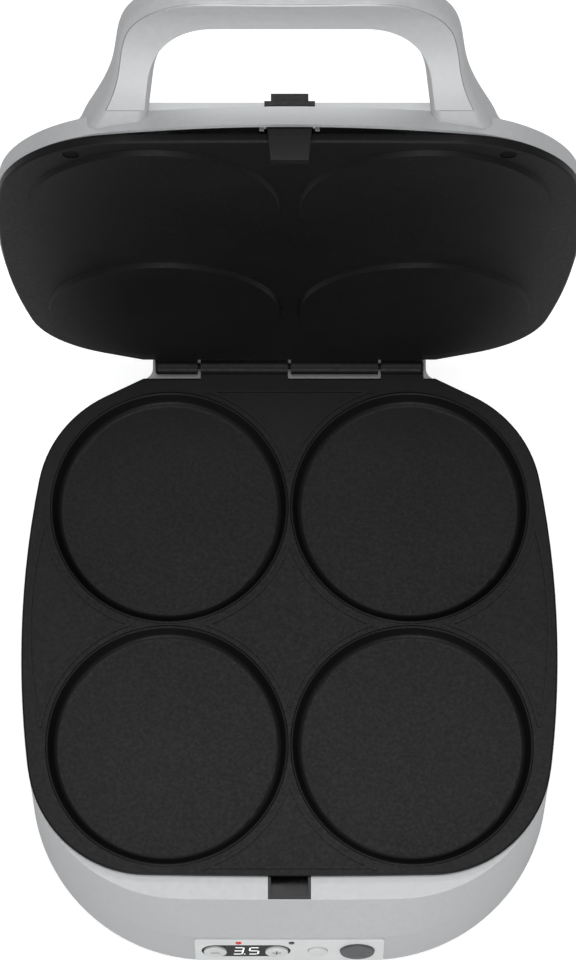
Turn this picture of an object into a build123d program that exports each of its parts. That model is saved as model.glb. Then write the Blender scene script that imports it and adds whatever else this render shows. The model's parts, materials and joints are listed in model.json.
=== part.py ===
from build123d import *
import os
from math import atan2, cos, degrees, hypot, radians, sin, sqrt, tan

# Countertop cooker with four round wells and a hinged lid, in millimetres.
# +X is the cook's right, -Y the front, +Z up. The parts are drawn about the middle
# of the four wells with the lid shut. Then the lid is turned open, and all of it is
# moved back to its origin.

# Wells and cooking plate
well_mouth_dia = 116.6        # takes a pancake of the usual size
well_land = 3.9               # between the mouths of neighbouring wells
well_pitch = well_mouth_dia + well_land
well_reach = well_pitch / 2 + well_mouth_dia / 2
well_floor_dia = well_mouth_dia - 4.6
well_depth = 7.5
well_floor_round = 3.0
boss_dia = well_mouth_dia - 3.6    # raised discs under the lid
boss_height = 2.2
boss_edge = 1.2
plate_half_width = well_reach + 14.45
plate_front = well_reach + 5.95    # from the middle of the wells to the front edge
plate_front_radius = 28 * plate_half_width
plate_corner_radius = 0.45 * plate_half_width
plate_side_radius = 3.55 * plate_half_width
plate_widest_y = -7.0
plate_rear_radius = 60.0
rear_slope = radians(26.3)    # how far the rear edge falls away from straight across
shoulder_fillet = 6.0
plate_top = 62.0              # cooking surface above the worktop
flange = 4.0                  # thickness of the casting at its edge
edge_round = 1.0
casting_wall = 3.0
bead_width = 1.6              # round lip that rings each well
bead_height = 0.8
rib_width = 1.5               # thin ribs that fence the drip trays
rib_height = 1.1
rib_offset = 3.2              # from a well's lip to the rib that follows it
rib_margin = 4.0              # from the plate's edge to the outer ribs
pocket_turn = radians(8)      # where a side rib leaves the rib round a well

# Hinge
hinge_y = well_reach + 14.95
parting_gap = 1.6             # between the two plates when shut
barrel_dia = 8.4
pin_dia = 3.2
pin_clearance = 0.06
knuckle_half = plate_half_width - 65   # half the length of the row of knuckles
knuckle_long = 0.65 * knuckle_half
knuckle_gap = 1.5
plate_rear_gap = 6.0          # from the hinge line to the plate's straight rear edge
lid_open = 95.0               # degrees

# Base housing
foot_height = 4.0
foot_dia = 17.0
foot_seat = 1.5
foot_x, foot_front_y, foot_rear_y = plate_half_width - 37, 12.5 - plate_front, hinge_y - 41.5
wall = 2.2
floor_wall = 2.5
rim_drop = 4.4                # from the cooking surface down to the rim
crease_height = 32.0          # where the rim piece meets the tub
rim_front, rim_front_radius, rim_corner, rim_over = plate_front + 11.3, 3000.0, 78.0, 0.4
crease_front, crease_front_radius, crease_corner, crease_over = plate_front + 27.3, 2000.0, 88.0, 1.4
tub_front, tub_front_radius, tub_corner, tub_over = plate_front + 35.7, 2500.0, 90.0, 3.0
tail = 10.0                   # housing behind the hinge line
tail_flare = 3.0
tail_half = knuckle_half + 1.5
part_gap = 0.3                # running clearance between separate mouldings
ledge = 2.0                   # how far the plate's edge laps over the rim's opening
vent_slots = 7                # in each of the floor's four groups
vent_width, vent_length = 50.0, 36.0
vent_x = vent_width / 2 + 25
vent_y = vent_length / 2 + 32
rear_vent_half = 34.0
rear_vent_low, rear_vent_high = 16.0, 26.0
rear_vent_slots = 9

# Control panel
panel_width = 94.0
panel_height = 26.6
panel_thick = 1.2
panel_proud = 0.3
panel_round = 1.5
panel_lip = 2.0
display_width = 44.4
display_height = 14.4
display_x = -21.6
display_lift = -0.9           # above the middle of the panel
step_button_dia = 11.4
step_button_pitch = 30.6
extra_button_dia = 9.6
extra_button_x = 14.1
start_button_dia = 17.0
start_button_x = 33.8
button_proud = 1.2
button_travel = 0.8
button_gap = 0.25
button_flange = 1.2
button_round = 0.5
led_dia = 3.0
led_lift = 9.2
led_proud = 0.4
power_led_x = -25.2
ready_led_x = 1.1
switch_dia = 3.2              # small dome switch behind each key
switch_height = 0.4

# Latch recess in the base
recess_width = 21.0
recess_depth = 11.0
recess_drop = 16.0
catch_wall = 1.2
catch_gap = 0.2

# Lid
lid_front = plate_front + 8.1
lid_front_radius, lid_corner, lid_over = 420.0, 70.0, 1.2
lid_edge = 4.3                # the plate stands proud of the lid's rim by this much
lid_wall_height = 9.0
lid_rise = 24.0               # from the rim to the crown of the lid
lid_draft = 1.0
lid_slope = radians(22)       # of the lid's top, just behind its front wall
brow_inset = 8.0
crown_drop = 5.0
lid_tail = 5.0                # the lid's rear wall stops this far ahead of the hinge
shoulder_inset = 26.0
crown_inset = 50.0
lid_screw_x = plate_half_width - 39
lid_screw_front, lid_screw_rear = 12.5 - plate_front, hinge_y - 37.5

# Handle
grip_front = lid_front + 57.9 # front of the grip, from the middle of the wells
grip_depth = 22.0
grip_half = 52.0
grip_lift = 28.5              # underside of the grip above the closed plates
grip_thick = 13.0
grip_bow = 4.0
grip_round = 4.5              # softens the handle's long edges
arm_shoulder_x, arm_shoulder_y = grip_half + 17, 20.0
arm_neck_x, arm_neck_y = 75.0, 44.0
arm_root_x, arm_root_y = 88.0, grip_front - lid_front + 14
arm_flare, arm_length = 10.0, 20.0
arm_end_y = 34 - lid_front    # where the arms run out in the lid
opening_half = 62.0
opening_round = 26.0
opening_lean = 8.0
opening_foot = 16.0           # the opening reaches this far behind the lid's front
cover_thick = 2.6

# Latch
latch_width = 20.0
tongue_thick = 3.0
tongue_reach = 11.0           # below the closed plates
tongue_tip_width = 16.0
barb_reach = 0.8
barb_height = 2.0
latch_back = 7.6              # the button's middle behind the lid's front edge
latch_button_width = 16.0
latch_button_depth = 9.0
latch_button_proud = 5.6
latch_button_root = 9.0
latch_play = 0.9
latch_pin_dia = 2.0
lever_half = 2.0
bezel_thick = 2.0
bezel_lift = 0.3
bezel_side, bezel_ends = 0.8, 2.5
ear_thick = 2.0
ear_half = 3.5
spring_wire = 0.7
spring_pitch = 1.1
spring_turns = 3

# Screws and posts
post_dia = 9.0
post_front_y, post_rear_y = 20.5 - plate_front, hinge_y - 37.5
post_side_x = plate_half_width - 29
screw_dia = 3.6
screw_head_dia = 6.6
screw_head = 2.4
screw_sink = 3.0
screw_bite = 9.0

# Heating and electrics
heater_dia = 6.4
heater_gap = 0.2
heater_half = well_pitch / 2
heater_corner = 0.7 * heater_half
heater_end_gap = 14.0
shield_thick = 0.8
shield_drop = 5.0
shield_inset = 9.0
lid_shield_inset = 14.0
shield_lip = 3.2
sensor_dia = 9.0
sensor_flange = 2.0
sensor_flange_thick = 1.0
sensor_y = 28.0
fuse_dia = 4.4
fuse_length = 26.0
fuse_y = -30.0
gland_dia = 11.0
gland_flange = 1.5
cord_dia = 7.0
cord_x = 48.0
cord_z = 20.0
board_thick = 1.6
board_stand = 4.0
board_margin = 5.0            # from the panel's ends to the control board's
power_board_x, power_board_y = 8.0, 32.0
power_board_width, power_board_depth = 90.0, 44.0
stand_dia, stand_inset = 6.0, 4.0
relay = (6, 8, 20, 16, 15)    # place on the board, then width, depth and height
transformer = (36, 10, 24, 22, 17)
capacitor_x, capacitor_y, capacitor_dia, capacitor_height = 74, 14, 10, 16

# The origin lies on the worktop, under the middle of the object's box, lid open.
middle_y = 22.24              # of that box, behind the middle of the wells

os.makedirs("parts", exist_ok=True)
hinge_z = plate_top + parting_gap / 2
rim_height = plate_top - rim_drop
tub_floor = foot_height
tub_back = hinge_y + tail + tail_flare
hinge_axis = Axis((0, hinge_y, hinge_z), (-1, 0, 0))
facing = Axis((0, 0, hinge_z), (0, 1, 0))


def corner_centre(c1, reach1, c2, reach2, side):
    """Where circles of two reaches about two centres cross, on the chosen side."""
    dx, dy = c2[0] - c1[0], c2[1] - c1[1]
    apart = hypot(dx, dy)
    along = (reach1**2 - reach2**2 + apart**2) / (2 * apart)
    off = sqrt(reach1**2 - along**2) * side
    return (c1[0] + (along * dx - off * dy) / apart, c1[1] + (along * dy + off * dx) / apart)


def push(centre, other, radius):
    """The point at a radius from one centre, on the line through another point."""
    d = hypot(other[0] - centre[0], other[1] - centre[1])
    return (centre[0] + (other[0] - centre[0]) * radius / d,
            centre[1] + (other[1] - centre[1]) * radius / d)


def arc_between(centre, radius, start, end):
    """An arc about a centre from one point to another, the short way."""
    mid = ((start[0] + end[0]) / 2, (start[1] + end[1]) / 2)
    return ThreePointArc(start, push(centre, mid, radius), end)


def plan(z, front, front_radius, corner, over, rear_y, half_tail, inset=0.0):
    """The outline at one height, of tangent arcs and lines. With no tail it ends straight."""
    half = plate_half_width + over - inset
    front_y = -front + inset
    r_front, r_corner = front_radius - inset, corner - inset
    r_side, r_rear = plate_side_radius - inset, plate_rear_radius - inset
    rear_y = rear_y - inset
    nx, ny = sin(rear_slope), cos(rear_slope)
    slope = nx * (knuckle_half + shoulder_fillet) + ny * (hinge_y - plate_rear_gap) + over - inset
    c_front = (0, front_y + r_front)
    c_side = (half - r_side, plate_widest_y)
    c_corner = corner_centre(c_front, r_front - r_corner, c_side, r_side - r_corner, 1)
    if c_corner[1] > plate_widest_y:
        c_corner = corner_centre(c_front, r_front - r_corner, c_side, r_side - r_corner, -1)
    reach = r_side - r_rear
    base = slope - r_rear - nx * c_side[0] - ny * c_side[1]
    run = sqrt(reach**2 - base**2)
    c_rear = (c_side[0] + nx * base + ny * run, c_side[1] + ny * base - nx * run)
    t1, t2 = push(c_front, c_corner, r_front), push(c_side, c_corner, r_side)
    t3 = push(c_side, c_rear, r_side)
    t4 = (c_rear[0] + nx * r_rear, c_rear[1] + ny * r_rear)
    right = [arc_between(c_corner, r_corner, t1, t2), arc_between(c_side, r_side, t2, t3),
             arc_between(c_rear, r_rear, t3, t4)]
    if half_tail:
        hollow, end_x = shoulder_fillet + inset, half_tail - inset
        c_hollow = (end_x + hollow, (slope + hollow - nx * (end_x + hollow)) / ny)
        t5 = (c_hollow[0] - nx * hollow, c_hollow[1] - ny * hollow)
        t6 = (end_x, c_hollow[1])
        right += [Line(t4, t5), arc_between(c_hollow, hollow, t5, t6), Line(t6, (end_x, rear_y))]
    else:
        end_x = (slope - ny * rear_y) / nx
        right += [Line(t4, (end_x, rear_y))]
    left = [e.mirror(Plane.YZ) for e in right]
    bow = arc_between(c_front, r_front, (-t1[0], t1[1]), t1)
    back = Line((end_x, rear_y), (-end_x, rear_y))
    return make_face([bow] + right + [back] + left).face().moved(Location((0, 0, z)))


def rim_plan(z, inset=0.0):
    return plan(z, rim_front, rim_front_radius, rim_corner, rim_over, hinge_y + tail,
                tail_half, inset)


def crease_plan(z, inset=0.0):
    return plan(z, crease_front, crease_front_radius, crease_corner, crease_over,
                hinge_y + tail + tail_flare, tail_half + rim_over, inset)


def tub_plan(z, inset=0.0):
    return plan(z, tub_front, tub_front_radius, tub_corner, tub_over,
                hinge_y + tail + 2 * tail_flare, tail_half + crease_over, inset)


def plate_plan(z, inset=0.0):
    return plan(z, plate_front, plate_front_radius, plate_corner_radius, 0,
                hinge_y - plate_rear_gap, 0, inset)


def lid_plan(z, inset=0.0):
    return plan(z, lid_front, lid_front_radius, lid_corner, lid_over,
                hinge_y - lid_tail, 0, inset)


def solid_between(low, high):
    return Solid.make_loft([low.outer_wire(), high.outer_wire()], True)


def at(shape, x, y, z):
    return shape.moved(Location((x, y, z)))


def rod(radius, height, x, y, z, axis_turn=(0, 0, 0)):
    """A cylinder standing on a point, or lying once it is turned."""
    up = Location((0, 0, height / 2))
    return Location((x, y, z), axis_turn) * up * Cylinder(radius, height)


def block(x0, x1, y0, y1, z0, z1):
    return at(Box(x1 - x0, y1 - y0, z1 - z0), (x0 + x1) / 2, (y0 + y1) / 2, (z0 + z1) / 2)


def save(name, shape):
    placed = at(shape, 0, -middle_y, 0)
    placed.label = name
    export_step(placed, f"parts/{name}.step")


post_places = [(0, post_front_y), (0, post_rear_y), (-post_side_x, 0), (post_side_x, 0), (0, 0)]
foot_places = [(sx * foot_x, y) for y in (foot_front_y, foot_rear_y) for sx in (-1, 1)]
shield_z = plate_top - well_depth - casting_wall - heater_gap - heater_dia - shield_drop
lid_post_places = [(sx * lid_screw_x, y) for y in (lid_screw_front, lid_screw_rear)
                   for sx in (-1, 1)]
well_centres = [(sx * well_pitch / 2, sy * well_pitch / 2) for sy in (-1, 1) for sx in (-1, 1)]


# Plates
def knuckles():
    """The knuckles of one casting: a long one inboard and a short one outboard."""
    inner_end = knuckle_gap / 2 + knuckle_long
    shape = Part()
    for start, end in [(-inner_end, -knuckle_gap / 2), (inner_end + knuckle_gap, knuckle_half)]:
        barrel = rod(barrel_dia / 2, end - start, start, hinge_y, hinge_z, (0, 90, 0))
        if end == knuckle_half:
            barrel = fillet(barrel.edges().sort_by(Axis.X)[-1], barrel_dia / 5)
        web = block(start, end, hinge_y - plate_rear_gap - 1, hinge_y, plate_top - flange, plate_top)
        shape += barrel + web
    return shape


def finish_knuckles(plate):
    """Add the knuckles and bore them for the pin."""
    plate += knuckles()
    bore = rod(pin_dia / 2 + pin_clearance, 2 * knuckle_half + 2, -knuckle_half - 1, hinge_y,
               hinge_z, (0, 90, 0))
    return plate - bore


def blank():
    """The flat casting with its rounded top edge."""
    body = extrude(plate_plan(plate_top - flange), flange)
    rim = body.edges().group_by(Axis.Z)[-1]
    return fillet(rim, edge_round)


def lower_casting():
    body = blank()
    cup_radius = well_mouth_dia / 2 + casting_wall * 0.6
    for x, y in well_centres:
        cup = Cone(well_floor_dia / 2 + casting_wall * 0.6, cup_radius, well_depth)
        body += at(cup, x, y, plate_top - casting_wall - well_depth / 2)
    for x, y in well_centres:
        dish = Cone(well_floor_dia / 2, well_mouth_dia / 2, well_depth)
        dish = fillet(dish.edges().group_by(Axis.Z)[0], well_floor_round)
        body -= at(dish, x, y, plate_top - well_depth / 2)
        lip = Plane.XZ * Location((well_mouth_dia / 2 + bead_width / 2, 0)) * Ellipse(
            bead_width / 2, bead_height)
        body += at(revolve(lip, Axis.Z), x, y, plate_top)
    boss_base = shield_z + shield_thick + part_gap
    for x, y in post_places:
        body += rod(screw_dia, plate_top - flange - boss_base, x, y, boss_base)
        body -= rod(screw_dia / 2 + pin_clearance, screw_bite + 1, x, y, boss_base)
    return body


def drip_ribs():
    """Thin ribs on the lower plate that fence its five drip trays."""
    half = well_pitch / 2
    radius = well_mouth_dia / 2 + bead_width + rib_offset
    meet = sqrt(radius**2 - half**2)
    line_y = plate_front - rib_margin
    side_x = plate_half_width - rib_margin
    tip_x, tip_y = half + radius * cos(pocket_turn), half - radius * sin(pocket_turn)
    end_x = half - sqrt(radius**2 - (line_y - half)**2)
    lines = []
    for sx in (1, -1):
        lines.append(ThreePointArc((sx * tip_x, tip_y), (sx * side_x, 0), (sx * tip_x, -tip_y)))
        lines.append(Line((-end_x, sx * line_y), (end_x, sx * line_y)))
        for sy in (1, -1):
            centre = (sx * half, sy * half)
            lines.append(arc_between(centre, radius, (sx * end_x, sy * line_y),
                                     (0, sy * (half + meet))))
            lines.append(arc_between(centre, radius, (0, sy * (half - meet)),
                                     (sx * (half - meet), 0)))
            lines.append(arc_between(centre, radius, (sx * (half + meet), 0),
                                     (sx * tip_x, sy * tip_y)))
    strip = Sketch() + [trace(line, rib_width) for line in lines]
    for sx in (1, -1):
        for y in (-line_y, line_y):
            strip += Location((sx * end_x, y)) * Circle(rib_width)
    return at(extrude(strip, rib_height), 0, 0, plate_top)


def upper_casting():
    """The lid's casting, drawn lying on its back with its raised discs up."""
    body = blank()
    for x, y in well_centres:
        disc = Cone(boss_dia / 2, boss_dia / 2 - boss_edge, boss_height)
        body += at(disc, x, y, plate_top + boss_height / 2)
    for x, y in lid_post_places:
        body -= rod(screw_dia / 2 + part_gap, 2 * flange, x, y, plate_top - 1.5 * flange)
        body -= rod(screw_head_dia / 2 + part_gap, flange, x, y, plate_top - screw_head - part_gap)
    return body


def shut_over(shape):
    """Turn a casting over about the parting line, as the lid's lies when shut."""
    return shape.rotate(facing, 180)


lower_plate = finish_knuckles(lower_casting() + drip_ribs())
upper_plate = shut_over(finish_knuckles(upper_casting()))


# Base housing
def base_surround():
    """The rim and the sloping band under it, open where the plate drops in."""
    outer = solid_between(crease_plan(crease_height), rim_plan(rim_height))
    inner = solid_between(crease_plan(crease_height - 1, wall), rim_plan(rim_height - wall, wall))
    mouth = extrude(plate_plan(rim_height - 2 * wall, ledge), 4 * wall)
    body = outer - inner - mouth
    recess = block(-recess_width / 2, recess_width / 2, -plate_front - recess_depth,
                   -plate_front + 2 * ledge, rim_height - recess_drop, rim_height + 1)
    pocket = block(-recess_width / 2 - wall, recess_width / 2 + wall,
                   -plate_front - recess_depth - wall, -plate_front + ledge,
                   rim_height - recess_drop - wall, rim_height - wall / 2)
    return body + (pocket & outer) - recess


def tub_shell():
    body = solid_between(tub_plan(tub_floor), crease_plan(crease_height - part_gap))
    inner = solid_between(tub_plan(tub_floor + floor_wall, wall), crease_plan(crease_height, wall))
    return body - inner


def slats(x0, x1, y0, y1, z0, z1, count):
    """Rows of vent slots through a wall or floor, side by side along X."""
    pitch = (x1 - x0) / count
    return [block(x0 + pitch * (i + 0.25), x0 + pitch * (i + 0.75), y0, y1, z0, z1)
            for i in range(count)]


panel_lean = degrees(atan2(tub_front - crease_front, crease_height - tub_floor))
panel_place = Location(
    (0, -(tub_front + crease_front) / 2, (crease_height + tub_floor) / 2),
    (90 - panel_lean, 0, 0))


def on_panel(shape, x, y, out):
    """Put a shape drawn facing +Z on the sloping panel, so far out of its face."""
    return panel_place * Location((x, y, out)) * shape


def pill(width, height, thick):
    return extrude(SlotOverall(width, height), thick)


button_spots = {
    "minus_button": (display_x - step_button_pitch / 2, display_lift, step_button_dia),
    "plus_button": (display_x + step_button_pitch / 2, display_lift, step_button_dia),
    "extra_button": (extra_button_x, display_lift, extra_button_dia),
    "start_button": (start_button_x, display_lift, start_button_dia),
}
panel_back = panel_proud - panel_thick
board_face = panel_back - button_flange - button_travel - 2 * button_gap - switch_height


def control_fascia():
    plate = extrude(RectangleRounded(panel_width, panel_height, panel_round), panel_thick)
    body = on_panel(plate, 0, 0, panel_back)
    body -= on_panel(pill(display_width, display_height, 2 * panel_thick), display_x,
                     display_lift, panel_back - 0.5 * panel_thick)
    for name in ("extra_button", "start_button"):
        x, y, dia = button_spots[name]
        body -= on_panel(Cylinder(dia / 2 + button_gap, 4 * panel_thick), x, y, panel_back)
    for x in (power_led_x, ready_led_x):
        body -= on_panel(Cylinder(led_dia / 2 + part_gap / 3, 4 * panel_thick), x, led_lift,
                         panel_back)
    return body


def display_window():
    lens = pill(display_width - part_gap, display_height - part_gap, panel_thick)
    body = on_panel(lens, display_x, display_lift, panel_back)
    for name in ("minus_button", "plus_button"):
        x, y, dia = button_spots[name]
        body -= on_panel(Cylinder(dia / 2 + button_gap, 4 * panel_thick), x, y, panel_back)
    return body


def button(name):
    """A key cap with a flange behind the panel, so that it can't fall out."""
    x, y, dia = button_spots[name]
    top = panel_proud + button_proud
    base = panel_back - button_gap
    cap = Cylinder(dia / 2, top - base)
    cap = fillet(cap.edges().group_by(Axis.Z)[-1], button_round)
    cap = at(cap, 0, 0, (top + base) / 2)
    cap += at(Cylinder(dia / 2 + button_flange, button_flange), 0, 0, base - button_flange / 2)
    return on_panel(cap, x, y, 0)


def base_tray():
    body = tub_shell()
    hole = extrude(RectangleRounded(panel_width - 2 * panel_lip, panel_height - 2 * panel_lip,
                                    panel_round), 6 * wall)
    body -= on_panel(hole, 0, 0, -4 * wall)
    seat = extrude(RectangleRounded(panel_width + part_gap, panel_height + part_gap,
                                    panel_round), 4 * wall)
    body -= on_panel(seat, 0, 0, panel_back - part_gap / 3)
    for x, y in post_places:
        body += rod(post_dia / 2, shield_z - part_gap - tub_floor, x, y, tub_floor)
    for x, y in foot_places:
        body -= rod(foot_dia / 2 + part_gap / 2, foot_seat, x, y, tub_floor)
    for x, y in post_places:
        body -= rod(screw_dia / 2 + part_gap / 2, 2 * plate_top, x, y, 0)
        body -= rod(screw_head_dia / 2 + part_gap, screw_sink, x, y, tub_floor)
    for y in (-vent_y, vent_y):
        for x in (-vent_x, vent_x):
            body -= slats(x - vent_width / 2, x + vent_width / 2, y - vent_length / 2,
                          y + vent_length / 2, 0, tub_floor + 2 * floor_wall, vent_slots)
    body -= slats(-rear_vent_half, rear_vent_half, tub_back - 8 * wall, tub_back + 4 * wall,
                  rear_vent_low, rear_vent_high, rear_vent_slots)
    body -= rod(gland_dia / 2, 10 * wall, cord_x, tub_back - 5 * wall, cord_z, (-90, 0, 0))
    return body


def cord_gland():
    """The grommet in the rear wall that the mains lead passes through."""
    lying = (-90, 0, 0)
    body = rod(gland_dia / 2 - part_gap / 3, 6 * wall, cord_x, tub_back - 3 * wall, cord_z, lying)
    body += rod(gland_dia / 2 + gland_flange, wall, cord_x, tub_back + tail_flare, cord_z, lying)
    return body - rod(cord_dia / 2, 20 * wall, cord_x, tub_back - 8 * wall, cord_z, lying)


def feet():
    """Four rubber feet, pressed into seats in the floor."""
    pads = []
    for x, y in foot_places:
        pad = rod(foot_dia / 2, foot_height + foot_seat - part_gap / 3, x, y, 0)
        pads.append(fillet(pad.edges().group_by(Axis.Z)[0], 1.0))
    return Compound([p.solid() for p in pads])


# Heating
def heater(z):
    """A sheathed element bent into a loop under the wells, with its ends at the back."""
    h, r, gap = heater_half, heater_corner, heater_end_gap
    path = FilletPolyline((gap, h, z), (h, h, z), (h, -h, z), (-h, -h, z), (-h, h, z),
                          (-gap, h, z), radius=r)
    ring = Plane(origin=(gap, h, z), z_dir=(1, 0, 0)) * Circle(heater_dia / 2)
    return sweep(ring, path)


def shield(z, inset, places, hole):
    """The pressed tray that keeps the heat off the housing."""
    body = extrude(plate_plan(z, inset), shield_lip)
    body -= extrude(plate_plan(z + shield_thick, inset + shield_thick), shield_lip)
    for x, y in places:
        body -= rod(hole / 2 + part_gap, 2 * shield_lip, x, y, z - shield_lip / 2)
    return body


def screws(places, z_head, length):
    """Pan-head screws pointing up, as separate solids in one group."""
    made = []
    for x, y in places:
        screw = rod(screw_dia / 2, length, x, y, z_head)
        screw += rod(screw_head_dia / 2, screw_head, x, y, z_head - screw_head)
        made.append(screw.solid())
    return Compound(made)


# Boards and sensors
def power_board():
    """The mains board on the tub's floor: relay, transformer and capacitor."""
    x, y, z = power_board_x, power_board_y, tub_floor + floor_wall + board_stand
    body = block(x, x + power_board_width, y, y + power_board_depth, z, z + board_thick)
    top = z + board_thick
    for dx, dy, width, depth, height in (relay, transformer):
        body += block(x + dx, x + dx + width, y + dy, y + dy + depth, top, top + height)
    body += rod(capacitor_dia / 2, capacitor_height, x + capacitor_x, y + capacitor_y, top)
    for dx in (stand_inset, power_board_width - stand_inset):
        for dy in (stand_inset, power_board_depth - stand_inset):
            body += rod(stand_dia / 2, board_stand, x + dx, y + dy, z - board_stand)
    return body


def control_board():
    board = Box(panel_width - 2 * board_margin, panel_height - 3 * panel_lip, board_thick)
    body = on_panel(board, 0, display_lift, board_face - board_thick / 2)
    for x, y, dia in button_spots.values():
        dome = at(Cylinder(switch_dia / 2, switch_height), 0, 0, switch_height / 2)
        body += on_panel(dome, x, y, board_face)
    return body


def led(x):
    top = panel_proud + led_proud
    lamp = Cylinder(led_dia / 2, top - board_face)
    lamp = fillet(lamp.edges().group_by(Axis.Z)[-1], led_dia / 5)
    return on_panel(lamp, x, led_lift, (top + board_face) / 2)


def latch_catch():
    """The glossy cup in the rim that the lid's hook drops into."""
    half = recess_width / 2 - catch_gap
    front, back = -plate_front - recess_depth + catch_gap, -plate_front + ledge
    low, high = rim_height - recess_drop + catch_gap, rim_height + 0.2
    cup = block(-half, half, front, back, low, high)
    cup -= block(-half + catch_wall, half - catch_wall, front + catch_wall, back + 5,
                 low + catch_wall, high + 1)
    return cup


# Lid
lid_base = plate_top + parting_gap + lid_edge


def lid_form(inset=0.0, top=0.0):
    """The lid's outside, or its hollow when an inset is given."""
    z = lid_base
    brow = lid_wall_height + brow_inset * tan(lid_slope)
    levels = [(0, 0), (lid_draft, lid_wall_height), (lid_draft + brow_inset, brow),
              (shoulder_inset, lid_rise - crown_drop), (crown_inset, lid_rise)]
    wires = [lid_plan(z + up - (top if up else 1 if inset else 0), grow + inset).outer_wire()
             for grow, up in levels]
    wall_part = Solid.make_loft(wires[:2], True)
    dome = Solid.make_loft(wires[1:], True)
    return wall_part + dome


def handle_plan(inset=0.0):
    """The handle seen from above: a swept loop with its opening, or a smaller one inside it."""
    marks = [(0, 0, 0, 1), (grip_half, grip_bow, 0.2, 1),
             (arm_shoulder_x, arm_shoulder_y, 0.8, 0.6), (arm_neck_x, arm_neck_y, 1, 0.2),
             (arm_root_x, arm_root_y, 0.9, 0.5),
             (arm_root_x + arm_flare, arm_root_y + arm_length, 1, 0)]
    outer = [(x - nx * inset, -grip_front + back + ny * inset) for x, back, nx, ny in marks]
    side = Spline(*outer, tangents=((1, 0), (1, 1.2)))
    root = Line(outer[-1], (-outer[-1][0], outer[-1][1]))
    body = make_face([side, root, side.mirror(Plane.YZ)])
    half, top_y = opening_half + inset, -grip_front + grip_depth - inset
    back_y = -lid_front + opening_foot + inset
    gap = make_face(Polyline((-half, back_y), (half, back_y), (half - opening_lean, top_y),
                             (opening_lean - half, top_y), close=True))
    return body - fillet(gap.vertices().group_by(Axis.Y)[0], opening_round + inset)


def under_curve(shift):
    """The underside of the handle, from the grip down to the lid's wall."""
    z = lid_base - lid_edge + shift
    return Spline((-grip_front - 5, z + grip_lift), (-grip_front + grip_depth, z + grip_lift),
                  (-lid_front, z + lid_edge + lid_wall_height - 3), (arm_end_y, z + lid_edge + 1))


def upper_curve(shift):
    """The top of the handle, which runs back into the lid."""
    z = lid_base + shift
    top = z + grip_lift - lid_edge + grip_thick
    return Spline((-grip_front - 5, top - 1), (-grip_front + grip_depth, top),
                  (-lid_front, z + (top - z + lid_wall_height) / 2), (arm_end_y, z + lid_rise - 6))


def handle_side(under, upper):
    """The handle's side view, drawn out along X."""
    face = make_face([under, upper, Line(under @ 0, upper @ 0), Line(under @ 1, upper @ 1)])
    return extrude(Plane.YZ * face, 2 * plate_half_width, both=True)


def handle(inset, under, upper):
    """A solid with the handle's plan and side views."""
    return extrude(handle_plan(inset), 3 * plate_top) & handle_side(under, upper)


def rounded_handle():
    """The handle's moulding, soft on top and round its opening, crisp at its lower rim."""
    body = handle(0, under_curve(0), upper_curve(0))
    along = [e for e in body.edges() if e.geom_type == GeomType.BSPLINE and e.length > 25]
    upright = [e for e in along if e.bounding_box().size.Z < 3 * grip_thick]
    crisp = [e for e in upright if e.bounding_box().size.Y > 80
             and e.center().Z < lid_base + grip_lift / 2 + grip_thick / 2]
    soft = [e for e in upright if e not in crisp and e.center().Y < -lid_front + 10]
    return fillet(soft, grip_round)


def lid_shell():
    """The lid's cover, moulded in one piece with the upper half of the handle."""
    body = lid_form() + rounded_handle()
    body -= lid_form(wall, wall)
    ahead = block(-grip_front, grip_front, -grip_front - 9, -lid_front - part_gap, 0, 3 * plate_top)
    body -= handle(wall, under_curve(-wall), upper_curve(-wall)) & ahead
    for x, y in lid_post_places:
        post = rod(post_dia / 2, lid_rise, x, y, plate_back + part_gap)
        body += post & lid_form(wall / 2, wall / 2)
        body -= rod(screw_dia / 2 + pin_clearance, screw_bite, x, y, plate_back)
    body -= latch_place * Box(latch_button_width + 2 * latch_play, latch_button_depth +
                              2 * latch_play, 8 * wall)
    return body + latch_ears()


def handle_cover():
    """The underside of the handle, let into the lid's moulding."""
    ahead = block(-grip_front, grip_front, -grip_front - 9, -lid_front - 2 * part_gap, 0,
                  3 * plate_top)
    return handle(wall + part_gap / 2, under_curve(0), under_curve(cover_thick)) & ahead


def latch_ears():
    """Two ears inside the lid that carry the latch's pin."""
    ears = Part()
    for sx in (-1, 1):
        x = sx * (latch_width / 2 + latch_play + ear_thick / 2)
        ear = block(x - ear_thick / 2, x + ear_thick / 2, latch_pivot_y - ear_half,
                    latch_pivot_y + ear_half, latch_pivot_z - ear_half, latch_pivot_z + 3 * wall)
        ears += ear
    return ears - rod(latch_pin_dia / 2, 2 * recess_width, -recess_width, latch_pivot_y,
                      latch_pivot_z, (0, 90, 0))


def latch_bezel():
    frame = Box(latch_width + 2 * bezel_side, latch_button_depth + 2 * bezel_ends, bezel_thick)
    frame -= Box(latch_button_width + 2 * latch_play, latch_button_depth + 2 * latch_play,
                 3 * bezel_thick)
    return latch_place * at(frame, 0, 0, bezel_thick / 2 + bezel_lift)


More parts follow.
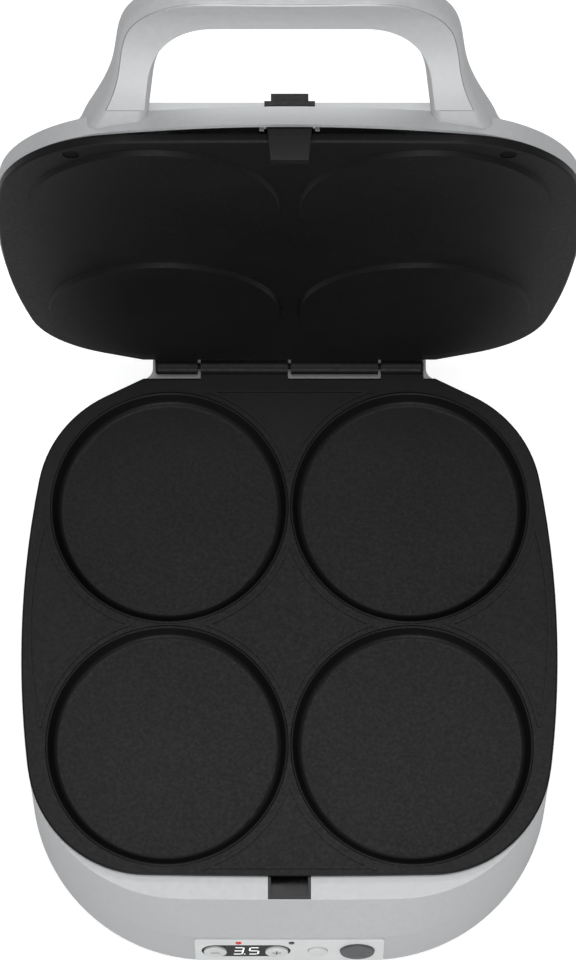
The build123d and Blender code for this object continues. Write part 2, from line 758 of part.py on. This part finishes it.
def latch():
    """The button, its lever and the hook that hangs below the lid's edge."""
    half, tip = latch_width / 2, tongue_tip_width / 2
    front = -lid_front + wall + lid_draft + part_gap
    low = plate_top + parting_gap - tongue_reach
    high = latch_pivot_z + lever_half
    tongue = extrude(Plane.XZ * make_face(Polyline((-half, high), (half, high), (tip, low),
                                                   (-tip, low), close=True)), tongue_thick)
    tongue = at(tongue, 0, front + tongue_thick, 0)
    barb = block(-tip, tip, front - barb_reach, front + 1, low, low + barb_height)
    lever = block(-half, half, front, latch_pivot_y + lever_half + 1, latch_pivot_z - lever_half,
                  high)
    cap = latch_place * at(Box(latch_button_width, latch_button_depth, latch_button_proud +
                               latch_button_root), 0, 0, (latch_button_proud - latch_button_root) / 2)
    body = tongue + barb + lever + cap
    slot = 2 * spring_pitch + spring_wire
    body -= block(-slot, slot, latch_pivot_y - 3, latch_pivot_y + 4, latch_pivot_z - 3,
                  latch_pivot_z + 3)
    return body - rod(latch_pin_dia / 2 + pin_clearance, 2 * half + 2, -half - 1, latch_pivot_y,
                      latch_pivot_z, (0, 90, 0))


def latch_spring():
    """A torsion spring of three turns round the latch's pin, in a slot of the lever."""
    coil = Helix(spring_pitch, spring_turns * spring_pitch, latch_pin_dia / 2 + spring_wire)
    start = Plane(origin=coil @ 0, z_dir=coil % 0)
    wire = sweep(start * Circle(spring_wire / 2), coil, is_frenet=True)
    return Location((-spring_turns * spring_pitch / 2, latch_pivot_y, latch_pivot_z),
                    (0, 90, 0)) * wire


def pin(dia, half, y, z):
    return rod(dia / 2, 2 * half, -half, y, z, (0, 90, 0))


def sensor(z_low, z_high):
    """A temperature sensor in its cup, held between the shield and the plate."""
    body = rod(sensor_dia / 2, z_high - z_low, 0, sensor_y, z_low)
    return body + rod(sensor_dia / 2 + sensor_flange, sensor_flange_thick, 0, sensor_y, z_low)


def fuse(z):
    """A thermal fuse in its sleeve, lying on the shield."""
    return pin(fuse_dia, fuse_length / 2, fuse_y, z + fuse_dia / 2)


def opened(shape):
    return shape.rotate(hinge_axis, lid_open)


plate_back = plate_top + parting_gap + flange
latch_place = Location((0, -lid_front + latch_back,
                        lid_base + lid_wall_height + (latch_back - lid_draft) * tan(lid_slope)),
                       (degrees(lid_slope), 0, 0))
latch_pivot_y = -lid_front + latch_back + 3.5
latch_pivot_z = lid_base + lid_wall_height - 5
under_heater = plate_top - well_depth - casting_wall - heater_gap - heater_dia / 2
over_heater = plate_back + heater_gap + heater_dia / 2
lid_shield_z = plate_back + heater_dia + 2 * heater_gap
seat_gap = part_gap / 2
base_parts = {
    "base_tray": base_tray(),
    "base_surround": base_surround(),
    "control_fascia": control_fascia(),
    "display_window": display_window(),
    "control_board": control_board(),
    "power_led": led(power_led_x),
    "ready_led": led(ready_led_x),
    "power_board": power_board(),
    "latch_catch": latch_catch(),
    "cord_gland": cord_gland(),
    "feet": feet(),
    "lower_plate": lower_plate,
    "lower_heater": heater(under_heater),
    "lower_shield": shield(shield_z, shield_inset, post_places, screw_dia),
    "lower_sensor": sensor(shield_z + shield_thick + seat_gap, plate_top - flange - seat_gap),
    "lower_fuse": fuse(shield_z + shield_thick + seat_gap),
    "base_screws": screws(post_places, tub_floor + screw_sink,
                          shield_z + shield_thick + screw_bite - tub_floor - screw_sink),
    "hinge_pin": pin(pin_dia, knuckle_half, hinge_y, hinge_z),
}
for name in button_spots:
    base_parts[name] = button(name)
lid_parts = {
    "lid_shell": lid_shell(),
    "handle_cover": handle_cover(),
    "upper_plate": upper_plate,
    "upper_heater": heater(over_heater),
    "upper_shield": shield(lid_shield_z, lid_shield_inset, lid_post_places, post_dia),
    "upper_sensor": sensor(plate_back + seat_gap, lid_shield_z - seat_gap),
    "upper_fuse": fuse(lid_shield_z + shield_thick + seat_gap),
    "plate_screws": screws(lid_post_places, plate_top + parting_gap + screw_head + part_gap,
                           flange - screw_head + screw_bite - 1),
    "latch_bezel": latch_bezel(),
    "latch_pin": pin(latch_pin_dia, latch_width / 2 + latch_play + ear_thick, latch_pivot_y,
                     latch_pivot_z),
    "latch_spring": latch_spring(),
    "latch": latch(),
}
for name, shape in base_parts.items():
    save(name, shape)
for name, shape in lid_parts.items():
    save(name, opened(shape))
lid_turn = Location((0, hinge_y, hinge_z), (-lid_open, 0, 0)) * Location((0, -hinge_y, -hinge_z))
latch_centre = lid_turn * Location((0, latch_pivot_y, latch_pivot_z))
shift = Vector(0, -middle_y, 0)
print("hinge", Vector(0, hinge_y, hinge_z) + shift, "latch", latch_centre.position + shift)
print("panel", panel_place.orientation, panel_place.position + shift)
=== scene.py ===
# %% [markdown]
# The imported model comes first. Its pieces stay where they are: what this file adds is
# the look.

# %% The frame
import json
import math

import bpy
from mathutils import Matrix, Vector

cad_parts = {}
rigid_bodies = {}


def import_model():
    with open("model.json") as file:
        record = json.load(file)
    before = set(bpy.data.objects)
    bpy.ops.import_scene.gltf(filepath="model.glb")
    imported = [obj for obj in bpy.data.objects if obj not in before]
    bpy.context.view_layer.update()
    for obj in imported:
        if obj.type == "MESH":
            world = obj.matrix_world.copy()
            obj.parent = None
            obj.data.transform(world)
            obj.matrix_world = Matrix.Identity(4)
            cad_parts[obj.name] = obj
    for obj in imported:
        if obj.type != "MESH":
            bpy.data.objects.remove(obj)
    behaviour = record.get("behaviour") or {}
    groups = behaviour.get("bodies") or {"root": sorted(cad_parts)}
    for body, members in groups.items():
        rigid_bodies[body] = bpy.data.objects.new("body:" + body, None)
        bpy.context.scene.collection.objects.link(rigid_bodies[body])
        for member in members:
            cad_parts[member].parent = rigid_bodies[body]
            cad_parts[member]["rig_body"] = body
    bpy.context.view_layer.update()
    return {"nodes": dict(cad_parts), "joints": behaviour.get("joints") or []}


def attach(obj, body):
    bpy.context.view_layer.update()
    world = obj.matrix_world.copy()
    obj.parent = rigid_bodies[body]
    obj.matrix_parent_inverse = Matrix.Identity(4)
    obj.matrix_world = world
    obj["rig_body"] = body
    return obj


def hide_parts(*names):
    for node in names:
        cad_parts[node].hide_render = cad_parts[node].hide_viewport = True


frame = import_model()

nodes = frame["nodes"]

# %% [markdown]
# Colours are written as hex, as on a paint card, and Blender wants them linear. One
# function turns them. One more adds a shader node with its settings and its links.

# %% Colours and nodes
def paint(code, alpha=1.0):
    """A hex colour such as c6c8ca as linear red, green, blue and alpha."""
    parts = [int(code[i:i + 2], 16) / 255 for i in (0, 2, 4)]
    line = [c / 12.92 if c <= 0.04045 else ((c + 0.055) / 1.055) ** 2.4 for c in parts]
    return (*line, alpha)


def put(tree, kind, sockets=None, **settings):
    """Adds one node. A value in sockets is either a number, a colour or another socket."""
    node = tree.nodes.new("ShaderNode" + kind)
    for name, value in settings.items():
        setattr(node, name, value)
    for name, value in (sockets or {}).items():
        if isinstance(value, bpy.types.NodeSocket):
            tree.links.new(value, node.inputs[name])
        else:
            node.inputs[name].default_value = value
    return node


print("silver", [round(c, 3) for c in paint("c6c8ca")])

# %% [markdown]
# The photograph looks down from in front, from about a metre and a half up, so nothing in
# it shrinks much with distance. A long lens on a camera tilted a little gives that view.

# %% The camera
eye = Vector((-0.0007, -0.3196, 1.515))
tilt = math.radians(14.34)
bpy.ops.object.select_all(action="DESELECT")
bpy.ops.object.camera_add(location=eye)
camera = bpy.context.object
camera.name = "camera"
camera.rotation_euler = (tilt, 0, 0)
camera.data.sensor_width = 36
camera.data.lens = 111.85
camera.data.clip_start, camera.data.clip_end = 0.05, 30
bpy.context.scene.camera = camera
print("eye above the worktop", eye.z)

# %% [markdown]
# A product is shot under wide soft boxes, with white card all round. The boxes above make
# the top faces brighter than the walls, and that difference shows the steps in the
# housing. One in front lights the open lid, and one behind keeps its back from going
# flat. The card is the world: white to the eye, and dimmer in reflections and as a light.

# %% World, lamps and floor
def studio_world(card, glow):
    """White to the camera, card in reflections and glow as a light."""
    world = bpy.data.worlds.new("white_card")
    bpy.context.scene.world = world
    world.use_nodes = True
    tree = world.node_tree
    tree.nodes.clear()
    path = put(tree, "LightPath")
    seen = put(tree, "Math", {0: path.outputs["Is Camera Ray"],
                              1: path.outputs["Is Transmission Ray"]}, operation="MAXIMUM")
    light = put(tree, "Background", {"Color": paint("ffffff"), "Strength": glow})
    mirror = put(tree, "Background", {"Color": paint("ffffff"), "Strength": card})
    white = put(tree, "Background", {"Color": paint("ffffff"), "Strength": 1.0})
    first = put(tree, "MixShader", {0: path.outputs["Is Glossy Ray"], 1: light.outputs[0],
                                    2: mirror.outputs[0]})
    mix = put(tree, "MixShader", {0: seen.outputs[0], 1: first.outputs[0],
                                  2: white.outputs[0]})
    put(tree, "OutputWorld", {"Surface": mix.outputs[0]})


def soft_box(name, place, towards, size, watts):
    """A round lamp this many metres across, turned towards a point."""
    bpy.ops.object.light_add(type="AREA", location=place)
    lamp = bpy.context.object
    lamp.name = name
    lamp.data.shape = "DISK"
    lamp.data.size = size
    lamp.data.energy = watts
    lamp.rotation_euler = (Vector(towards) - Vector(place)).to_track_quat("-Z", "Y").to_euler()


floor_side, floor_drop = 12, 0.0005


def white_floor():
    """Paper that is near white to the camera and still takes the object's shadow."""
    bpy.ops.mesh.primitive_plane_add(size=floor_side, location=(0, 0, -floor_drop))
    floor = bpy.context.object
    floor.name = "floor"
    bpy.ops.object.transform_apply(location=True, rotation=False, scale=False)
    material = bpy.data.materials.new("white_paper")
    material.use_nodes = True
    tree = material.node_tree
    tree.nodes.clear()
    paper = put(tree, "BsdfDiffuse", {"Color": paint("e6e6e6")})
    lift = put(tree, "Emission", {"Color": paint("ffffff"), "Strength": 0.6})
    both = put(tree, "AddShader", {0: paper.outputs[0], 1: lift.outputs[0]})
    path = put(tree, "LightPath")
    mix = put(tree, "MixShader", {0: path.outputs["Is Camera Ray"], 1: paper.outputs[0],
                                  2: both.outputs[0]})
    put(tree, "OutputMaterial", {"Surface": mix.outputs[0]})
    floor.data.materials.append(material)


studio_world(card=0.3, glow=0.26)
soft_box("top_box", (0.0, 0.1, 2.3), (0, 0.03, 0.1), size=1.1, watts=12)
soft_box("brow_box", (0.0, -0.9, 2.1), (0, 0, 0.1), size=0.9, watts=5)
soft_box("front_box", (0.0, -2.0, 0.8), (0, 0, 0.2), size=0.9, watts=14)
soft_box("back_box", (0.0, 1.6, 1.9), (0, 0, 0.2), size=0.9, watts=12)
white_floor()
bpy.context.scene.view_settings.view_transform = "Standard"

# %% [markdown]
# Every finish below reads the piece's own coordinates in metres, so a scale is one over a
# real size. A small helper starts a finish: the shader, the coordinates and the output.

# %% How a finish starts
def start_finish(name, color, **sockets):
    material = bpy.data.materials.new(name)
    material.use_nodes = True
    tree = material.node_tree
    tree.nodes.clear()
    place = put(tree, "TexCoord").outputs["Object"]
    shader = put(tree, "BsdfPrincipled", {"Base Color": paint(color), **sockets})
    put(tree, "OutputMaterial", {"Surface": shader.outputs[0]})
    return material, tree, place, shader


def noise(tree, place, size_mm, detail=2.0, rough=0.5):
    """Noise with blobs of about this size."""
    return put(tree, "TexNoise", {"Vector": place, "Scale": 500 / size_mm, "Detail": detail,
                                  "Roughness": rough}).outputs[0]


def spread(tree, value, low, high, start=0.3, end=0.7):
    return put(tree, "MapRange", {0: value, 1: start, 2: end, 3: low, 4: high}).outputs[0]


def tint(tree, value, dark, light):
    return put(tree, "Mix", {0: value, 6: paint(dark), 7: paint(light)},
               data_type="RGBA").outputs[2]


def relief(tree, shader, value, height_mm, strength=1.0):
    bump = put(tree, "Bump", {"Height": value, "Distance": height_mm / 1000,
                              "Strength": strength})
    tree.links.new(bump.outputs[0], shader.inputs["Normal"])


# %% [markdown]
# The housing is ABS, sprayed with a silver lacquer. The lacquer holds metal flakes finer
# than the eye can part, drawn here as 1.5 mm clouds of barely different silver, over the
# slight orange peel that a sprayed coat keeps.

# %% Silver lacquer on ABS
def silver_lacquer():
    material, tree, place, shader = start_finish(
        "silver_lacquered_abs", "c3c5c7", **{"Metallic": 0.15, "IOR": 1.5,
                                             "Coat Weight": 0.15, "Coat Roughness": 0.25})
    flakes = noise(tree, place, 1.5, 3.0, 0.7)
    clouds = noise(tree, place, 60, 1.0)
    mixed = put(tree, "Math", {0: flakes, 1: clouds}, operation="MULTIPLY").outputs[0]
    tree.links.new(tint(tree, spread(tree, mixed, 0, 1, 0.15, 0.4), "c1c3c5", "c8cacc"),
                   shader.inputs["Base Color"])
    tree.links.new(spread(tree, flakes, 0.34, 0.44), shader.inputs["Roughness"])
    relief(tree, shader, noise(tree, place, 3.0, 1.0), 0.012)
    return material


silver = silver_lacquer()
print(silver.name)

# %% [markdown]
# The two plates are die-cast aluminium with a sprayed non-stick coating, a black PTFE
# with a fine grain. The grain breaks a highlight into a soft glow that fades over a few
# centimetres, and light flecks in it keep it from looking like paint.

# %% Non-stick coating on cast aluminium
def nonstick():
    material, tree, place, shader = start_finish(
        "ptfe_coated_cast_aluminium", "131314", **{"IOR": 1.38, "Specular IOR Level": 0.28})
    grain = noise(tree, place, 0.9, 3.0, 0.65)
    flecks = put(tree, "TexVoronoi", {"Vector": place, "Scale": 1000 / 1.6}).outputs[0]
    bright = spread(tree, flecks, 1, 0, 0.03, 0.16)
    ground = tint(tree, spread(tree, noise(tree, place, 25, 2.0), 0, 1), "101011", "161617")
    color = put(tree, "Mix", {0: put(tree, "Math", {0: bright, 1: 0.3},
                                     operation="MULTIPLY").outputs[0],
                              6: ground, 7: paint("3c3c3f")}, data_type="RGBA").outputs[2]
    tree.links.new(color, shader.inputs["Base Color"])
    tree.links.new(spread(tree, grain, 0.36, 0.5), shader.inputs["Roughness"])
    relief(tree, shader, grain, 0.02)
    return material


coating = nonstick()
print(coating.name)

# %% [markdown]
# The control panel is a moulded ABS strip, sprayed paler than the housing and without
# flakes. Its keys are the same plastic, polished by fingers, and the round one is dark.

# %% Panel and keys
def pale_panel():
    material, tree, place, shader = start_finish("pale_painted_abs", "e6e8e8", IOR=1.5)
    cloud = noise(tree, place, 9, 2.0)
    tree.links.new(tint(tree, spread(tree, cloud, 0, 1), "e2e5e5", "e9ebeb"),
                   shader.inputs["Base Color"])
    tree.links.new(spread(tree, noise(tree, place, 1.2), 0.4, 0.5), shader.inputs["Roughness"])
    relief(tree, shader, noise(tree, place, 0.8, 1.0), 0.008)
    return material


def key_plastic(name, dark, light):
    material, tree, place, shader = start_finish(name, light, IOR=1.5)
    cloud = noise(tree, place, 4, 2.0)
    tree.links.new(tint(tree, spread(tree, cloud, 0, 1), dark, light),
                   shader.inputs["Base Color"])
    tree.links.new(spread(tree, cloud, 0.26, 0.38), shader.inputs["Roughness"])
    relief(tree, shader, noise(tree, place, 0.7, 1.0), 0.006)
    return material


panel_paint = pale_panel()
pale_key = key_plastic("polished_pale_abs", "d6d8d8", "e4e6e6")
grey_key = key_plastic("dark_grey_abs", "4a4c4e", "56585a")
print(panel_paint.name, pale_key.name, grey_key.name)

# %% [markdown]
# The display window and the cup that the hook drops into are polished black acrylic. It
# mirrors what is round it, and wiping leaves faint smears that show in the reflection.
# The latch is black ABS from a spark-cut mould, whose grain is drawn at 0.8 mm, coarser
# than the real one, because the real one is too fine to show. Feet and grommet are soft.

# %% Polished and textured black plastic
def polished_black():
    material, tree, place, shader = start_finish(
        "polished_black_pmma", "0c0c0d", **{"IOR": 1.49, "Specular IOR Level": 0.2})
    smear = noise(tree, place, 7, 3.0, 0.6)
    tree.links.new(tint(tree, spread(tree, smear, 0, 1), "0a0a0b", "121214"),
                   shader.inputs["Base Color"])
    tree.links.new(spread(tree, smear, 0.1, 0.24), shader.inputs["Roughness"])
    return material


def textured_black(name, color, light, grain_mm, rough, height_mm):
    material, tree, place, shader = start_finish(name, color, **{"Specular IOR Level": 0.3})
    grain = noise(tree, place, grain_mm, 2.0)
    tree.links.new(tint(tree, spread(tree, grain, 0, 1), color, light),
                   shader.inputs["Base Color"])
    tree.links.new(spread(tree, grain, rough - 0.06, rough + 0.06),
                   shader.inputs["Roughness"])
    relief(tree, shader, grain, height_mm)
    return material


gloss_black = polished_black()
black_abs = textured_black("spark_textured_black_abs", "0b0b0c", "141416", 0.8, 0.45, 0.03)
foot_rubber = textured_black("moulded_rubber", "101010", "1b1a19", 1.4, 0.8, 0.05)
gland_rubber = textured_black("soft_black_pvc", "131313", "1d1d1e", 1.0, 0.6, 0.02)
print(gloss_black.name, black_abs.name, foot_rubber.name, gland_rubber.name)

# %% [markdown]
# The base screws, the latch's pin and its spring are steel, plated with zinc. The plates'
# screws are blackened steel, as they show beside the black castings. The hinge pin gets the
# same black as painted shade: it stands for the shade in the gaps between the knuckles.
# The pressed trays behind the plates are rolled aluminium sheet, whose fine lines all run
# one way. The elements are steel tube that heat has turned straw and brown in patches.

# %% Metals
def metal(name, dark, light, size_mm, rough, stretch=(1, 1, 1), height_mm=0.01):
    material, tree, place, shader = start_finish(name, light, Metallic=1.0)
    pulled = put(tree, "Mapping", {"Vector": place, "Scale": stretch}).outputs[0]
    grain = noise(tree, pulled, size_mm, 3.0, 0.6)
    tree.links.new(tint(tree, spread(tree, grain, 0, 1), dark, light),
                   shader.inputs["Base Color"])
    tree.links.new(spread(tree, grain, rough - 0.07, rough + 0.07),
                   shader.inputs["Roughness"])
    relief(tree, shader, grain, height_mm)
    return material


# On the hinge pin this black is painted shade for the gaps between the knuckles.
black_steel_and_pin_shade = metal("black_oxide_steel_and_painted_shade", "0b0b0c", "1a1a1b", 2.0, 0.45)
zinc = metal("zinc_plated_steel", "a9abad", "c3c5c8", 2.0, 0.3)
sheet = metal("rolled_aluminium_sheet", "bcbec0", "d8d9db", 3.0, 0.35, (0.05, 1, 1))
sheath = metal("heat_tinted_steel_tube", "6f6353", "a39a8c", 14.0, 0.45)
print(black_steel_and_pin_shade.name, zinc.name, sheet.name, sheath.name)

# %% [markdown]
# The rest lies inside: green solder mask with its copper tracks showing through as a
# paler maze, the woven glass sleeve on the thermal fuse, and the lamps.

# %% Boards, sleeve and lamps
def solder_mask():
    material, tree, place, shader = start_finish("green_solder_mask", "1d4a2b", IOR=1.5)
    tracks = put(tree, "TexBrick", {"Vector": place, "Scale": 90.0, "Mortar Size": 0.03,
                                    "Color1": paint("1b4729"), "Color2": paint("1f5230"),
                                    "Mortar": paint("3c7a4c")}).outputs[0]
    tree.links.new(tracks, shader.inputs["Base Color"])
    shader.inputs["Roughness"].default_value = 0.3
    relief(tree, shader, tracks, 0.03)
    return material


def glass_sleeve():
    material, tree, place, shader = start_finish("woven_glass_sleeve", "d8d3c4")
    one = put(tree, "TexWave", {"Vector": place, "Scale": 240.0, "Distortion": 0.6},
              bands_direction="X").outputs[1]
    two = put(tree, "TexWave", {"Vector": place, "Scale": 240.0, "Distortion": 0.6},
              bands_direction="DIAGONAL").outputs[1]
    weave = put(tree, "Math", {0: one, 1: two}, operation="MULTIPLY").outputs[0]
    tree.links.new(tint(tree, weave, "b8b2a2", "e2decf"), shader.inputs["Base Color"])
    shader.inputs["Roughness"].default_value = 0.8
    relief(tree, shader, weave, 0.1)
    return material


def lamp_lens(name, dark, light, glow):
    material, tree, place, shader = start_finish(
        name, light, **{"IOR": 1.49, "Roughness": 0.18, "Emission Color": paint(light),
                        "Emission Strength": glow})
    tree.links.new(tint(tree, noise(tree, place, 1.5, 1.0), dark, light),
                   shader.inputs["Base Color"])
    return material


board_green = solder_mask()
sleeve = glass_sleeve()
red_lens = lamp_lens("lit_red_lens", "8e1510", "d2261c", 0.35)
dark_lens = lamp_lens("unlit_smoked_lens", "1b1b1e", "34343a", 0.0)
print(board_green.name, sleeve.name, red_lens.name, dark_lens.name)

# %% [markdown]
# The model from CAD comes as loose triangles. A copy with its points joined can be
# shaded smooth up to a chosen angle, so a curved wall is round and an edge stays crisp.
# Each copy stands for its node, and rides on the body that the node belongs to.

# %% Dressing the pieces from CAD
def only(obj):
    bpy.ops.object.select_all(action="DESELECT")
    obj.select_set(True)
    bpy.context.view_layer.objects.active = obj


def dress(node, material, angle=28):
    """A smooth copy of a CAD node, in one finish."""
    source = nodes[node]
    body = source["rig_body"]
    piece = bpy.data.objects.new(node + "_dressed", source.data.copy())
    bpy.context.scene.collection.objects.link(piece)
    only(piece)
    bpy.ops.object.mode_set(mode="EDIT")
    bpy.ops.mesh.select_all(action="SELECT")
    bpy.ops.mesh.customdata_custom_splitnormals_clear()
    bpy.ops.mesh.remove_doubles(threshold=0.000004)
    bpy.ops.object.mode_set(mode="OBJECT")
    bpy.ops.object.shade_smooth_by_angle(angle=math.radians(angle))
    bpy.ops.object.modifier_add(type="WEIGHTED_NORMAL")
    piece.modifiers[-1].keep_sharp = True
    bpy.ops.object.modifier_apply(modifier=piece.modifiers[-1].name)
    piece.data.materials.clear()
    piece.data.materials.append(material)
    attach(piece, body)
    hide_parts(node)
    return piece


finishes = {
    "base_tray": silver, "base_surround": silver, "lid_shell": silver, "handle_cover": silver,
    "lower_plate": coating, "upper_plate": coating, "control_fascia": panel_paint,
    "display_window": gloss_black, "latch_catch": gloss_black, "latch": black_abs,
    "latch_bezel": black_abs, "cord_gland": gland_rubber, "feet": foot_rubber,
    "minus_button": pale_key, "plus_button": pale_key, "extra_button": pale_key,
    "start_button": grey_key, "power_led": red_lens, "ready_led": dark_lens,
    "lower_shield": sheet, "upper_shield": sheet, "lower_heater": sheath,
    "upper_heater": sheath, "lower_sensor": sheet, "upper_sensor": sheet,
    "lower_fuse": sleeve, "upper_fuse": sleeve, "base_screws": zinc,
    # The hinge pin's black is painted shade in the gaps between its knuckles.
    "plate_screws": black_steel_and_pin_shade, "hinge_pin": black_steel_and_pin_shade, "latch_pin": zinc,
    "latch_spring": zinc, "power_board": board_green, "control_board": board_green,
}
dressed = {name: dress(name, finish) for name, finish in finishes.items()}
print("dressed", len(dressed), "of", len(nodes))

# %% [markdown]
# The lacquer is only sprayed on the outside, and the faces inside the lid are given bare
# black plastic. The black is also painted shade: it makes the slot between the lid's rim
# and its plate dark, where shade falls. The faces are picked with the lid turned shut in
# the mind: they look down or in.

# %% Black plastic as painted shade inside the lid
hinge = next(j for j in frame["joints"] if j["name"] == "lid_hinge")
hinge_at = Vector(hinge["pos_m"])
lid_open = 95
to_shut = Matrix.Rotation(math.radians(lid_open), 3, "X")
lid_rim_height, lid_front_inside, wells_y = 0.0682, -0.153, -0.02224
arm_inner_x, arm_back = 0.05, -0.118


def painted_shade_face(face):
    """True where a face of the shut lid, above its rim, looks down or in, and so takes the
    painted shade.
    """
    middle = to_shut @ (face.center - hinge_at) + hinge_at
    normal = to_shut @ face.normal
    if middle.z < lid_rim_height or middle.y < lid_front_inside:
        return False
    if abs(middle.x) > arm_inner_x and middle.y < arm_back:
        return False
    inward = Vector((-middle.x, wells_y - middle.y)).normalized()
    return normal.z < -0.2 or (abs(normal.z) < 0.5 and normal.xy.dot(inward) > 0.3)


lid_shell = dressed["lid_shell"]
lid_shell.data.materials.append(black_abs)
# These faces take black plastic, which is painted shade for the slot inside the lid.
shade_painted_faces = [face for face in lid_shell.data.polygons if painted_shade_face(face)]
for face in shade_painted_faces:
    face.material_index = 1
print("inner faces", len(shade_painted_faces), "of", len(lid_shell.data.polygons))

# %% [markdown]
# The panel leans back, so what lies on it is drawn flat and then laid on its plane. The
# function below takes a place on the panel in millimetres, across and up, and how far
# out of the face it stands.

# %% The panel's plane
display_x, step_key_reach, key_height = -21.6, 15.3, -0.9
lean = math.radians(73.3008)
panel_middle = Vector((0, -0.17824, 0.018))
panel_plane = Matrix.Translation(panel_middle) @ Matrix.Rotation(lean, 4, "X")


def lay_on_panel(piece, x, y, out, body, material, name):
    """Moves a flat mesh from the origin to its place on the panel."""
    piece.data.transform(panel_plane @ Matrix.Translation(Vector((x, y, out)) / 1000))
    piece.name = name
    piece.data.materials.clear()
    piece.data.materials.append(material)
    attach(piece, body)
    return piece


print("panel faces", [round(v, 3) for v in panel_plane.to_3x3() @ Vector((0, 0, 1))])

# %% [markdown]
# The display shows two white figures of seven bars each, as any timer does. One bar is
# modelled: a flat block whose four upright edges are cut back by a bevel, so its ends
# come almost to points. The others are copies, each with its own mesh, and a longer or
# shorter one only has its ends moved.

# %% One bar of a figure
bar_long, bar_wide, bar_thick, bar_cut = 3.9, 0.75, 0.12, 0.315


def model_bar():
    """The mesh of one bar, lying on the origin."""
    bpy.ops.object.select_all(action="DESELECT")
    bpy.ops.mesh.primitive_cube_add(size=0.001)
    bar = bpy.context.object
    bpy.ops.object.mode_set(mode="EDIT")
    bpy.ops.transform.resize(value=(bar_long, bar_wide, bar_thick))
    bpy.ops.mesh.select_mode(type="EDGE")
    bpy.ops.mesh.select_all(action="DESELECT")
    bpy.ops.object.mode_set(mode="OBJECT")
    for edge in bar.data.edges:
        low, high = sorted(bar.data.vertices[i].co.z for i in edge.vertices)
        edge.select = high - low > bar_thick / 2000
    bpy.ops.object.mode_set(mode="EDIT")
    bpy.ops.mesh.bevel(offset=bar_cut / 1000, segments=1, affect="EDGES", profile=0.5)
    bpy.ops.object.mode_set(mode="OBJECT")
    mesh = bar.data
    bpy.data.objects.remove(bar)
    return mesh


bar_mesh = model_bar()
print("one bar", len(bar_mesh.vertices), "points", len(bar_mesh.polygons), "faces")


def one_bar(length):
    """A copy of the bar, its ends moved to make it this many millimetres long."""
    bar = bpy.data.objects.new("bar", bar_mesh.copy())
    bpy.context.scene.collection.objects.link(bar)
    for v in bar.data.vertices:
        v.co.x += math.copysign(1, v.co.x) * (length - bar_long) / 2000
    return bar


def lit_figure():
    material, tree, place, shader = start_finish(
        "lit_white_segment", "f2f4f5", **{"Roughness": 0.4, "Emission Color": paint("f4f6f7"),
                                          "Emission Strength": 0.75})
    tree.links.new(tint(tree, noise(tree, place, 2.0, 1.0), "e6e9ea", "ffffff"),
                   shader.inputs["Base Color"])
    return material


segment_white = lit_figure()
print(segment_white.name)

# %% [markdown]
# A figure lights some of its seven places. Three lie across and four stand, and lit all
# together they would make an eight. The points are then pushed over, row by row, so that
# the figure leans as on a real display.

# %% The two figures
half_high, half_wide, figure_lean, figure_proud = 4.1, 2.3, 0.12, 0.36
point_long, point_x, left_figure, right_figure = 0.95, 3.6, -25.4, -17.6
places = {"top": (0, half_high, 0), "mid": (0, 0, 0), "low": (0, -half_high, 0),
          "top_left": (-half_wide, half_high / 2, 1),
          "top_right": (half_wide, half_high / 2, 1),
          "low_left": (-half_wide, -half_high / 2, 1),
          "low_right": (half_wide, -half_high / 2, 1)}
three = ["top", "mid", "low", "top_right", "low_right"]
five = ["top", "mid", "low", "top_left", "low_right"]


def joined(bars):
    """Makes one piece of several."""
    bpy.ops.object.select_all(action="DESELECT")
    for bar in bars:
        bar.select_set(True)
    bpy.context.view_layer.objects.active = bars[0]
    if len(bars) > 1:
        bpy.ops.object.join()
    return bpy.context.object


def figure(lit, centre_x, dot):
    bars = []
    for name in lit:
        x, y, upright = places[name]
        bar = one_bar(bar_long)
        turn = Matrix.Rotation(math.radians(90 * upright), 4, "Z")
        bar.data.transform(Matrix.Translation(Vector((x, y, 0)) / 1000) @ turn)
        bars.append(bar)
    if dot:
        point = one_bar(point_long)
        point.data.transform(Matrix.Translation(Vector((point_x, -half_high, 0)) / 1000))
        bars.append(point)
    piece = joined(bars)
    for v in piece.data.vertices:
        v.co.x += figure_lean * v.co.y
    return lay_on_panel(piece, centre_x, key_height, figure_proud, "base", segment_white,
                        "display_figure" + ("_and_point" if dot else ""))


figure(three, left_figure, True)
figure(five, right_figure, False)
print("figures 3 and 5")

# %% [markdown]
# The two step keys carry a minus and a plus, printed in grey ink. The same bar makes
# them, so each sign is a shape of its own that stays sharp from near by.

# %% Signs on the keys
def ink():
    material, tree, place, shader = start_finish("grey_screen_ink", "6a6c6e", Roughness=0.55)
    tree.links.new(tint(tree, noise(tree, place, 0.6, 2.0), "5c5e60", "74767a"),
                   shader.inputs["Base Color"])
    return material


def sign(turns, x, body, name):
    """One bar for each turn, on the key's top."""
    bars = []
    for turn in turns:
        bar = one_bar(sign_long)
        bar.data.transform(Matrix.Rotation(math.radians(turn), 4, "Z"))
        bars.append(bar)
    return lay_on_panel(joined(bars), x, key_height, key_top, body, print_ink, name)


print_ink = ink()
sign_long, key_top = 4.6, 1.5
sign([0], display_x - step_key_reach, "minus_key", "minus_sign")
sign([0, 90], display_x + step_key_reach, "plus_key", "plus_sign")
print("signs printed")
